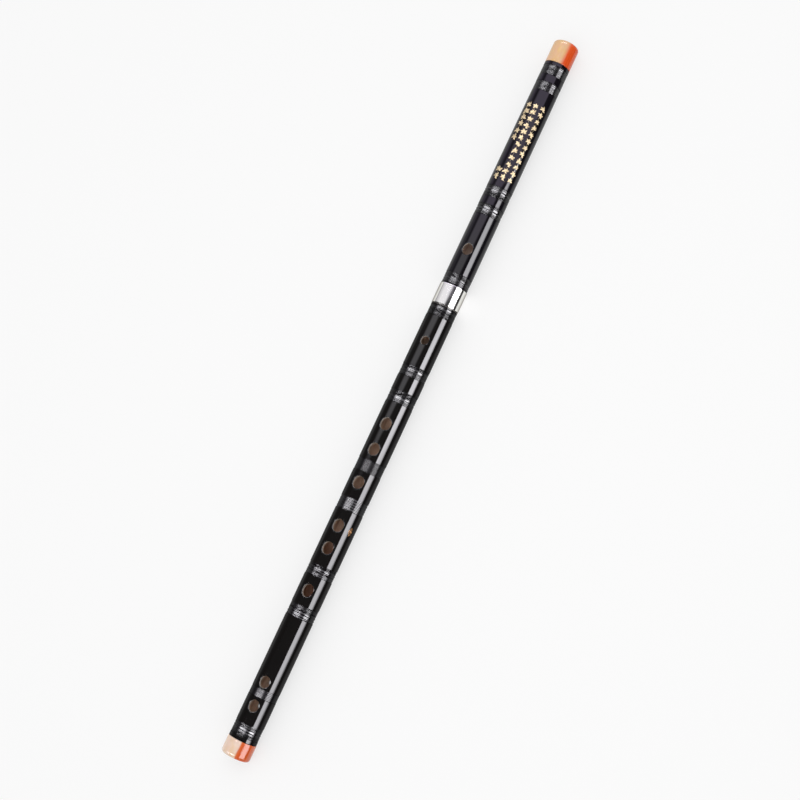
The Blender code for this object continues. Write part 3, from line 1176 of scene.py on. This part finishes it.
@dataclass
class GiltLozenge:
    """A small gilt lozenge within a lozenge frame, painted beside a finger hole."""

    x: float
    surface: Callable[[float], float]
    turn_deg: float = 57.0
    length: float = 0.0056
    width: float = 0.0027
    cells: int = 12
    frame_from: float = 0.42
    heart_to: float = 0.15

    def build(self, finish: bpy.types.Material) -> None:
        """Shapes the lozenge and rolls it onto the lacquer.

        Args:
            finish: The gilt paint.
        """
        shape = bmesh.new()
        bmesh.ops.create_grid(shape, x_segments=self.cells, y_segments=self.cells, size=0.5)
        bare = []
        for face in shape.faces:
            middle = face.calc_center_median()
            if self.heart_to < max(abs(middle.x), abs(middle.y)) < self.frame_from:
                bare.append(face)
        bmesh.ops.delete(shape, geom=bare, context="FACES")
        for vert in shape.verts:
            along, across = vert.co.x - vert.co.y, vert.co.x + vert.co.y
            here = self.x + along * self.length / 2
            radius = self.surface(here)
            turn = math.radians(self.turn_deg) + across * self.width / 2 / radius
            vert.co = around(here, radius + PAINT_LIFT, turn)
        raise_paint(shape)
        place(as_object("gilt_lozenge", shape, [finish]), Body.LOWER, None)


# Studio


@dataclass(frozen=True)
class Viewpoint:
    """The photograph's camera, given by the flute's place and tilt in the picture."""

    picture: float = 800.0
    focal: float = 1490.0
    scale: float = 0.0006329
    aim_x: float = -0.0060
    aim_shift: float = 1.48
    lean_deg: float = 25.05
    tilt_deg: float = 5.9
    roll_deg: float = 17.5
    sensor: float = 36.0
    nearest: float = 0.01

    def build(self) -> None:
        """Makes the camera and sets it as the scene's."""
        lean, tilt, roll = (math.radians(deg) for deg in (self.lean_deg, self.tilt_deg, self.roll_deg))
        level = math.cos(tilt)
        along = Vector((math.sin(lean) * level, math.cos(lean) * level, -math.sin(tilt)))
        towards = (Vector((0.0, 0.0, 1.0)) - along * along.z).normalized()
        right = along.cross(towards)
        up_axis = towards * math.cos(roll) - right * math.sin(roll)
        side_axis = -right * math.cos(roll) - towards * math.sin(roll)
        turn = Matrix((along, side_axis, up_axis))
        aim = Vector((self.aim_shift * self.scale, 0.0, -(self.focal * self.scale)))
        eye = Vector((self.aim_x, 0.0, AXIS_Z)) - turn @ aim
        data = bpy.data.cameras.new("camera")
        data.sensor_width = self.sensor
        data.lens = self.sensor * self.focal / self.picture
        data.clip_start = self.nearest
        camera = bpy.data.objects.new("camera", data)
        camera.matrix_world = Matrix.Translation(eye) @ turn.to_4x4()
        bpy.context.scene.collection.objects.link(camera)
        bpy.context.scene.camera = camera


@dataclass(frozen=True)
class SoftLight:
    """A flat soft light parallel to the flute, facing its axis."""

    name: str
    turn_deg: float
    spread_deg: float
    distance: float
    low_x: float
    high_x: float
    radiance: float
    roll_deg: float = 0.0
    crest: float = 0.0
    swell: tuple[Point, ...] = ((0.30, 0.05), (0.56, 0.35), (0.68, 1.0), (0.80, 0.45))
    tint: Colour = (1.0, 1.0, 1.0)
    mirrored: bool = True
    spread_about: bool = True

    def shade(self, data: bpy.types.AreaLight) -> None:
        """Makes the light brighter about its middle, as a softbox lit from its centre is.

        Args:
            data: The light.
        """
        data.use_nodes = True
        nodes = Nodes(data.node_tree)
        split = nodes.add("SeparateXYZ", {"Vector": nodes.add("NewGeometry").outputs["Parametric"]})
        swell = nodes.add("FloatCurve", {"Value": split.outputs["X"]})
        curve = swell.mapping.curves[0]
        curve.points[-1].location = (1.0, 0.0)
        for spot, height in self.swell:
            curve.points.new(spot, height)
        swell.mapping.update()
        level = nodes.math("MULTIPLY_ADD", swell.outputs["Value"], self.crest, 1.0)
        nodes.feed(nodes.tree.nodes["Emission"].inputs["Strength"], level)

    def build(self) -> None:
        """Adds the light, bright by its radiance and unseen by the camera."""
        width = 2 * self.distance * math.tan(math.radians(self.spread_deg) / 2)
        length = self.high_x - self.low_x
        data = bpy.data.lights.new(self.name, "AREA")
        data.shape = "RECTANGLE"
        data.size, data.size_y = length, width
        data.energy = self.radiance * math.pi * (length * width)
        data.color = self.tint
        if self.crest:
            self.shade(data)
        lamp = bpy.data.objects.new(self.name, data)
        turn = math.radians(self.turn_deg)
        facing = Vector((0.0, -math.sin(turn), math.cos(turn)))
        along = Vector((1.0, 0.0, 0.0))
        basis = Matrix((along, facing.cross(along), facing)).transposed()
        centre = around((self.low_x + self.high_x) / 2, self.distance, turn)
        roll = Matrix.Rotation(math.radians(self.roll_deg), 4, "Z")
        lamp.matrix_world = Matrix.Translation(centre) @ basis.to_4x4() @ roll
        lamp.visible_camera = False
        lamp.visible_glossy = self.mirrored
        lamp.visible_diffuse = self.spread_about
        bpy.context.scene.collection.objects.link(lamp)


@dataclass(frozen=True)
class Room:
    """The dim room that polished pieces mirror: pale low down, soft panels, and a glint past each end.

    A direction is given by its turn from straight up towards the front, in degrees, and by its reach:
    how far it leans along the flute for each unit away from the axis. A pair of ranges says where a
    panel rises and where it falls.
    """

    dark: float = 0.035
    pale: float = 0.22
    pale_sides: Point = (-0.2, 0.3)
    pale_tops: Point = (0.01, 0.45)
    pale_fade: float = 0.6
    sheen: float = 0.92
    sheen_tint: Colour = (1.0, 0.98, 1.035)
    back_line: Point = (-230.0, -28.5)
    back_soft: Point = (-26.0, 20.0)
    front_line: Point = (184.0, -26.4)
    front_soft: Point = (-9.0, 9.0)
    slant_reach: Point = (0.03, 0.09)
    front_turn: tuple[Point, Point] = ((-5.0, 5.0), (51.5, 55.0))
    front_reach: Point = (0.268, 0.275)
    lilac_tint: Colour = (1.03, 0.91, 1.21)
    lilac_reach: tuple[Point, Point] = ((0.20, 0.27), (0.36, 0.41))
    glint: float = 15.0
    glint_turn: tuple[Point, Point] = ((-62.0, -34.0), (-4.0, 20.0))
    glint_head: tuple[Point, Point] = ((0.40, 0.44), (0.62, 0.72))
    glint_foot: tuple[Point, Point] = ((-0.50, -0.42), (-0.22, -0.185))
    plain: Colour = (0.86, 0.86, 0.86)
    backdrop: float = 1.11

    def panels(self, nodes: Nodes, turn: bpy.types.NodeSocket,
               reach: bpy.types.NodeSocket) -> bpy.types.NodeSocket:
        """Brightness of the soft panels: a slanting one behind and a straight one in front.

        Args:
            nodes: The world's nodes.
            turn: Turn of the direction.
            reach: Reach of the direction.

        Returns:
            A share from 0 to 1.
        """
        edges = []
        for line, soft in ((self.back_line, self.back_soft), (self.front_line, self.front_soft)):
            middle = nodes.math("MULTIPLY_ADD", reach, *line)
            edges.append(tuple(nodes.math("ADD", middle, shift) for shift in soft))
        slanting = nodes.math("MULTIPLY", nodes.within(turn, *edges),
                              nodes.span(reach, self.slant_reach, smooth=True))
        front = nodes.math("MULTIPLY", nodes.within(turn, *self.front_turn),
                           nodes.span(reach, self.front_reach, smooth=True))
        return nodes.math("MINIMUM", nodes.math("ADD", slanting, front), 1.0)

    def build(self) -> None:
        """Paints the world: the room in mirrored rays, and a plain pale light in all others."""
        world = bpy.data.worlds.new("room")
        world.use_nodes = True
        bpy.context.scene.world = world
        nodes = Nodes(world.node_tree)
        split = nodes.add("SeparateXYZ", {"Vector": nodes.add("TexCoord").outputs["Generated"]})
        x, y, z = (split.outputs[name] for name in "XYZ")
        turn = nodes.math("DEGREES", nodes.math("ARCTAN2", nodes.math("MULTIPLY", y, -1.0), z))
        square = nodes.math("ADD", nodes.math("MULTIPLY", y, y), nodes.math("MULTIPLY", z, z))
        reach = nodes.math("DIVIDE", x, nodes.math("SQRT", square))
        top = nodes.span(y, self.pale_sides, self.pale_tops)
        low = nodes.span(z, (nodes.math("MULTIPLY", top, self.pale_fade), top), (1.0, 0.0), smooth=True)
        ends = nodes.math("ADD", nodes.within(reach, *self.glint_head), nodes.within(reach, *self.glint_foot))
        glint = nodes.math("MULTIPLY", ends, nodes.within(turn, *self.glint_turn))
        level = nodes.math("ADD", nodes.math("MULTIPLY_ADD", low, self.pale, self.dark),
                           nodes.math("MULTIPLY", self.panels(nodes, turn, reach), self.sheen))
        mirrored = nodes.tree.nodes["Background"]
        nodes.feed(mirrored.inputs["Strength"], nodes.math("MULTIPLY_ADD", glint, self.glint, level))
        lilac = nodes.within(reach, *self.lilac_reach)
        nodes.feed(mirrored.inputs["Color"], nodes.mixed(lilac, self.sheen_tint, self.lilac_tint))
        rays = nodes.add("LightPath").outputs
        seen = nodes.math("MAXIMUM", rays["Is Camera Ray"], rays["Is Transmission Ray"])
        bright = nodes.math("MULTIPLY_ADD", seen, self.backdrop - 1.0, 1.0)
        plain = nodes.add("Background", {"Color": (*self.plain, 1.0), "Strength": bright})
        blend = nodes.add("MixShader", {"Fac": rays["Is Glossy Ray"], 1: plain.outputs["Background"],
                                        2: mirrored.outputs["Background"]})
        nodes.feed(nodes.tree.nodes["World Output"].inputs["Surface"], blend.outputs["Shader"])


@dataclass
class Studio:
    """Pale floor, dim room and soft lights."""

    floor_colour: Colour = (0.34, 0.34, 0.34)
    floor_glow: float = 0.63
    floor_size: float = 20.0
    card_colour: Colour = (0.02, 0.02, 0.02)
    card_from: float = 0.041
    card_to: float = 0.60
    card_length: float = 0.90
    card_height: float = 0.0005
    matt: float = 0.9
    room: Room = Room()
    strip: SoftLight = SoftLight(
        "front_strip", turn_deg=65.2, spread_deg=40.5, distance=0.60, low_x=-0.47, high_x=0.33, radiance=6.9,
        roll_deg=10.5, crest=0.42, tint=(0.99, 0.975, 1.02), spread_about=False)
    overhead: SoftLight = SoftLight(
        "overhead", turn_deg=8.0, spread_deg=30.0, distance=0.70, low_x=-0.35, high_x=0.35, radiance=0.9,
        mirrored=False)

    def floor(self) -> None:
        """Lays the floor that the flute rests on."""
        shape = bmesh.new()
        bmesh.ops.create_grid(shape, x_segments=1, y_segments=1, size=self.floor_size / 2)
        graph = Graph("pale_floor")
        graph.set(Base_Color=(*self.floor_colour, 1.0), Roughness=self.matt, Specular_IOR_Level=0.0)
        rays = graph.add("LightPath").outputs
        seen = graph.math("MAXIMUM", rays["Is Camera Ray"], rays["Is Glossy Ray"])
        seen = graph.math("MAXIMUM", seen, rays["Is Transmission Ray"])
        graph.set(Emission_Color=(1.0, 1.0, 1.0, 1.0))
        graph.set(Emission_Strength=graph.math("MULTIPLY", seen, self.floor_glow))
        as_object("floor", shape, [graph.material])

    def card(self) -> None:
        """Lays a dark card in front, which only mirrored rays see: the black line on the metal."""
        shape = bmesh.new()
        made = bmesh.ops.create_grid(shape, x_segments=1, y_segments=1, size=0.5)["verts"]
        bmesh.ops.scale(shape, verts=made, vec=(self.card_length, self.card_to - self.card_from, 1.0))
        middle = (0.0, -(self.card_from + self.card_to) / 2, self.card_height)
        bmesh.ops.translate(shape, verts=made, vec=middle)
        graph = Graph("dark_card")
        graph.set(Base_Color=(*self.card_colour, 1.0), Roughness=self.matt, Specular_IOR_Level=0.0)
        card = as_object("card", shape, [graph.material])
        card.visible_camera = card.visible_diffuse = card.visible_transmission = card.visible_shadow = False

    def build(self) -> None:
        """Sets the stage."""
        Viewpoint().build()
        self.floor()
        self.card()
        self.room.build()
        self.strip.build()
        self.overhead.build()
        bpy.context.scene.view_settings.view_transform = "Standard"


# The flute


@dataclass
class Flute:
    """The whole flute: both bamboo sections, their windings, the joint, the rings and the gilding."""

    body_radius: float = 0.00925
    joint_radius: float = 0.00905
    head_radius: float = 0.00855
    taper_x: float = -0.035
    seam: float = 0.0002
    spigot_radius: float = 0.0074
    tenon_radius: float = 0.0071
    tenon_wall: float = 0.0004
    socket_radius: float = 0.0076
    ferrule_bore: float = 0.00855
    ferrule_lip: float = 0.0005
    flange_radius: float = 0.0087
    flange_thickness: float = 0.0005
    embouchure: Point = (0.0084, 0.0072)
    membrane: Point = (0.0062, 0.0058)
    finger: Point = (0.0089, 0.0076)
    end: Point = (0.0083, 0.0072)
    rear: Point = (0.0060, 0.0060)
    head_cap_hole: float = 0.0055
    metal_fillet: float = 0.00005
    tenon_fillet: float = 0.0001
    gilt_head: float = 0.2043
    lozenge_x: float = -0.0952
    gilt_seed: int = 4
    lower_lacquer: Lacquer = Lacquer("black_lacquer")
    upper_lacquer: Lacquer = Lacquer(
        "plum_black_lacquer", dark=(0.0050, 0.0042, 0.0060), light=(0.0080, 0.0068, 0.0096), gloss_ior=1.57,
        quiet=0.06, rim=0.58, fade=(0.11, 0.20))
    cut_bamboo: Bamboo = Bamboo("cut_bamboo", dark=(0.30, 0.24, 0.19), light=(0.56, 0.47, 0.39))
    lower_bore: Bamboo = Bamboo(
        "bare_bore", dark=(0.50, 0.335, 0.235), light=(0.74, 0.54, 0.41), darker_colour=(0.39, 0.20, 0.125))
    upper_bore: Bamboo = Bamboo("upper_bore", dark=(0.62, 0.46, 0.38), light=(0.86, 0.68, 0.58))
    lower_thread: LacqueredThread = LacqueredThread("lacquered_thread")
    upper_thread: LacqueredThread = LacqueredThread("plum_lacquered_thread", quiet=0.24, rim=0.42)
    dull_thread: LacqueredThread = LacqueredThread("dull_thread", gloss_ior=1.68, blur=0.10)
    hazy_thread: LacqueredThread = LacqueredThread("hazy_thread", quiet=0.50, rim=0.42)
    polished: NickelSilver = NickelSilver()
    # A dark copy of the nickel silver for the tenon's flange: painted shade in the seam between the sections.
    seam_shade: NickelSilver = NickelSilver(
        "seam_shade_silver", bright=(0.15, 0.14, 0.13), dull=(0.08, 0.075, 0.07), roughness=(0.28, 0.40))
    # The pale side of each resin ring is a painted sheen of light.
    foot_resin: Resin = Resin(
        "foot_resin", sheen_cream=(0.87, 0.62, 0.43), sheen_blush=(0.89, 0.68, 0.57), orange=(0.76, 0.165, 0.045),
        deep=(0.72, 0.105, 0.022), sheen_border=(0.02, 0.13), polish=0.8)
    head_resin: Resin = Resin("head_resin")
    sprig_gilt: Gilt = Gilt("pale_gilt")
    lozenge_gilt: Gilt = Gilt("copper_gilt", gold=(0.72, 0.36, 0.14), worn=(0.42, 0.19, 0.07))
    upper_bands: int = 5
    hazy_bands: tuple[int, ...] = (1, 2)
    dull_bands: tuple[int, ...] = (9, 13)
    lays: tuple[Lay, ...] = (
        Lay(8, (1.0, 1.7, 1.0, 1.4, 1.0)),
        Lay(7, (1.0, 1.3, 0.9, 1.0, 1.0)),
        Lay(8, (1.0, 1.4, 2.8, 1.0, 0.8, 0.8)),
        Lay(7, (0.8, 1.0, 3.2, 2.2, 1.0, 0.8)),
        Lay(8, (1.0, 0.9, 0.9, 2.2, 1.3, 1.0)),
        Lay(8, (1.0, 2.2, 0.8, 0.8, 1.0, 0.8)),
        Lay(8, (0.8, 0.8, 3.0, 1.0, 1.7, 1.0)),
        Lay(8, (0.9, 0.9, 0.9, 3.4, 1.0, 1.3)),
        Lay(9, (1.0, 1.1, 0.9, 1.0, 1.0), ridge=0.00022),
        Lay(5, (1.0, 1.0)),
        Lay(8, (1.0, 0.9, 3.0, 1.0, 1.7, 1.4)),
        Lay(8, (1.0, 1.2, 0.8, 3.0, 2.4, 1.1)),
        Lay(6, (1.0, 1.2, 0.9, 1.0), ridge=0.00010),
        Lay(8, (1.5, 1.0, 2.8, 2.4, 0.9, 1.0)))

    def hole_places(self) -> dict[str, float]:
        """Places of the holes, from the openings that the record states.

        Returns:
            The middle of each opening along X, by its name.
        """
        places = {}
        for opening in frame["record"]["physics"]["openings"]:
            low, high = opening["box_m"]
            places[opening["name"]] = (low[0] + high[0]) / 2
        return places

    def bands(self, first: int, last: int) -> tuple[str, ...]:
        """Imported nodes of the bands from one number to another."""
        return tuple(f"binding_{number:02d}" for number in range(first, last + 1))

    def lower_tube(self) -> BambooTube:
        """Lower section: membrane hole, six finger holes, end holes in front and behind.

        Returns:
            The section, not yet built.
        """
        places = self.hole_places()
        holes = [Hole(places["membrane_hole"], *self.membrane)]
        holes += [Hole(places[f"finger_hole_{n}"], *self.finger) for n in range(1, 7)]
        holes += [Hole(places[f"end_hole_{n}"], *self.end) for n in (1, 2)]
        holes += [Hole(places[f"rear_hole_{n}"], *self.rear, rear=True) for n in (1, 2)]
        foot, head = FOOT_CAP.head + self.seam, LOWER_TUBE.head
        seat_foot = Extent.of("tenon_tube").foot - self.seam
        return BambooTube(
            "lower_bamboo", "body_tube", Body.LOWER, foot, head,
            knots=((foot, self.body_radius), (self.taper_x, self.body_radius), (head, self.joint_radius)),
            bands=self.bands(self.upper_bands + 1, len(self.lays)), holes=tuple(holes),
            spigot_foot=(LOWER_TUBE.foot, self.spigot_radius),
            seat=(seat_foot, head, self.tenon_radius + self.seam / 2))

    def upper_tube(self) -> BambooTube:
        """Upper section: the blow hole.

        Returns:
            The section, not yet built.
        """
        foot, head = FERRULE.head + self.seam, HEAD_CAP.foot - self.seam
        seat_head = Extent.of("head_socket_tube").head + self.seam
        return BambooTube(
            "upper_bamboo", "head_tube", Body.UPPER, foot, head,
            knots=((FERRULE.foot, self.joint_radius), (head, self.head_radius)),
            bands=self.bands(1, self.upper_bands),
            holes=(Hole(self.hole_places()["embouchure"], *self.embouchure),),
            spigot_foot=(UPPER_TUBE.foot, self.ferrule_bore - self.seam / 2),
            spigot_head=(UPPER_TUBE.head, self.spigot_radius),
            seat=(UPPER_TUBE.foot, seat_head, self.socket_radius + self.seam / 2))

    def joint(self) -> list[MetalRing]:
        """Ferrule, tenon and socket lining.

        Returns:
            The three rings, not yet built.
        """
        tenon, socket = Extent.of("tenon_tube"), Extent.of("head_socket_tube")
        flange_foot = LOWER_TUBE.head + self.seam / 2
        flange_head = flange_foot + self.flange_thickness
        lip_head = FERRULE.foot + self.ferrule_lip
        lip = self.socket_radius + self.seam / 2
        inner = self.tenon_radius - self.tenon_wall
        lining = self.tenon_radius + self.seam / 2
        return [
            MetalRing("ferrule", "joint_ferrule", Body.UPPER, (
                Corner(FERRULE.head, FERRULE.radius, self.metal_fillet),
                Corner(FERRULE.foot, FERRULE.radius, self.metal_fillet),
                Corner(FERRULE.foot, lip), Corner(lip_head, lip),
                Corner(lip_head, self.ferrule_bore), Corner(FERRULE.head, self.ferrule_bore))),
            MetalRing("tenon", "tenon_tube", Body.JOINT, (
                Corner(tenon.head, self.tenon_radius, self.tenon_fillet),
                Corner(flange_head, self.tenon_radius),
                Corner(flange_head, self.flange_radius, self.metal_fillet),
                Corner(flange_foot, self.flange_radius, self.metal_fillet),
                Corner(flange_foot, self.tenon_radius), Corner(tenon.foot, self.tenon_radius),
                Corner(tenon.foot, inner), Corner(tenon.head, inner, self.tenon_fillet)),
                seam_shade_from=self.tenon_radius + self.seam),
            MetalRing("socket_lining", "head_socket_tube", Body.UPPER, (
                Corner(socket.head, self.socket_radius), Corner(socket.foot, self.socket_radius),
                Corner(socket.foot, lining), Corner(socket.head, lining)))]

    def wind(self) -> None:
        """Winds the bands, numbered from the head, some of them hazier or duller than the rest."""
        lower, upper = self.lower_thread.build(), self.upper_thread.build()
        others = {**dict.fromkeys(self.hazy_bands, self.hazy_thread.build()),
                  **dict.fromkeys(self.dull_bands, self.dull_thread.build())}
        for number, lay in enumerate(self.lays, start=1):
            body, thread = (Body.UPPER, upper) if number <= self.upper_bands else (Body.LOWER, lower)
            band = Winding(f"winding_{number:02d}", f"binding_{number:02d}", body, lay)
            band.build(others.get(number, thread))

    def build(self) -> None:
        """Makes every piece in order."""
        lower, upper = self.lower_tube(), self.upper_tube()
        cut = self.cut_bamboo.build()
        lower.build((self.lower_lacquer.build(), cut, self.lower_bore.build()))
        upper.build((self.upper_lacquer.build(), cut, self.upper_bore.build()))
        self.wind()
        polished, seam_shade = self.polished.build(), self.seam_shade.build()
        for ring in self.joint():
            ring.build(polished, seam_shade)
        EndRing("foot_ring", "foot_cap", Body.LOWER, BORE_RADIUS).build(self.foot_resin.build(), at_foot=True)
        EndRing("head_ring", "head_cap", Body.UPPER, self.head_cap_hole).build(
            self.head_resin.build(), at_foot=False)
        CorkPlug().build(Cork().build())
        GiltVines(self.gilt_head, upper.surface).build(self.sprig_gilt.build(), random.Random(self.gilt_seed))
        GiltLozenge(self.lozenge_x, lower.surface).build(self.lozenge_gilt.build())


def main() -> None:
    """Sets the stage and builds the flute."""
    logging.basicConfig(level=logging.INFO, format="%(message)s")
    Studio().build()
    Flute().build()


if __name__ == "__main__":
    main()
